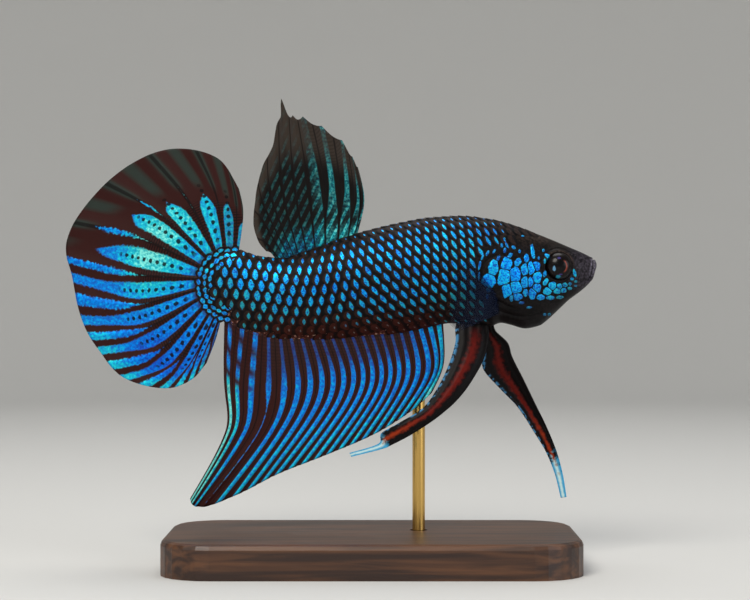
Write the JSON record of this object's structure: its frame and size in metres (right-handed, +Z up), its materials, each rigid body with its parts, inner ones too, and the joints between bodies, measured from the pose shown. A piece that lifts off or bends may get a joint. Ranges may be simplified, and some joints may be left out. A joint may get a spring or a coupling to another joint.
{
  "type": "betta fish model on a display stand",
  "caption": "Life-size still model of a wild-type betta fish with spread fins, held by a rod on a flat base.",
  "frame": {"origin": "centre of the underside of the stand's base", "axes": "+X towards the fish's head, +Y towards the fish's left side, +Z up"},
  "size_m": [0.0627, 0.027, 0.0547],
  "materials": {
    "skin": "near-black wet skin under shining blue scales",
    "eye": "dark, clear and glossy",
    "fin": "thin skin banded maroon and iridescent blue",
    "pelvic_fin": "dark red with black edges and pale blue tips",
    "clear_fin": "thin, nearly clear, smoky blue",
    "stand_wood": "dark wood, satin varnish",
    "stand_brass": "brushed brass"
  },
  "bodies": {
    "root": {"head": "skin", "jaw": "skin", "gill_cover_right": "skin", "gill_cover_left": "skin", "eye_right": "eye", "eye_left": "eye", "trunk_front": "skin", "trunk_rear": "skin", "tail_stem": "skin", "fin_tail": "fin", "fin_anal": "fin", "fin_dorsal": "fin", "fin_pelvic_right": "pelvic_fin", "fin_pelvic_left": "pelvic_fin", "fin_pectoral_right": "clear_fin", "fin_pectoral_left": "clear_fin", "stand_base": "stand_wood", "stand_rod": "stand_brass"}
  },
  "joints": []
}
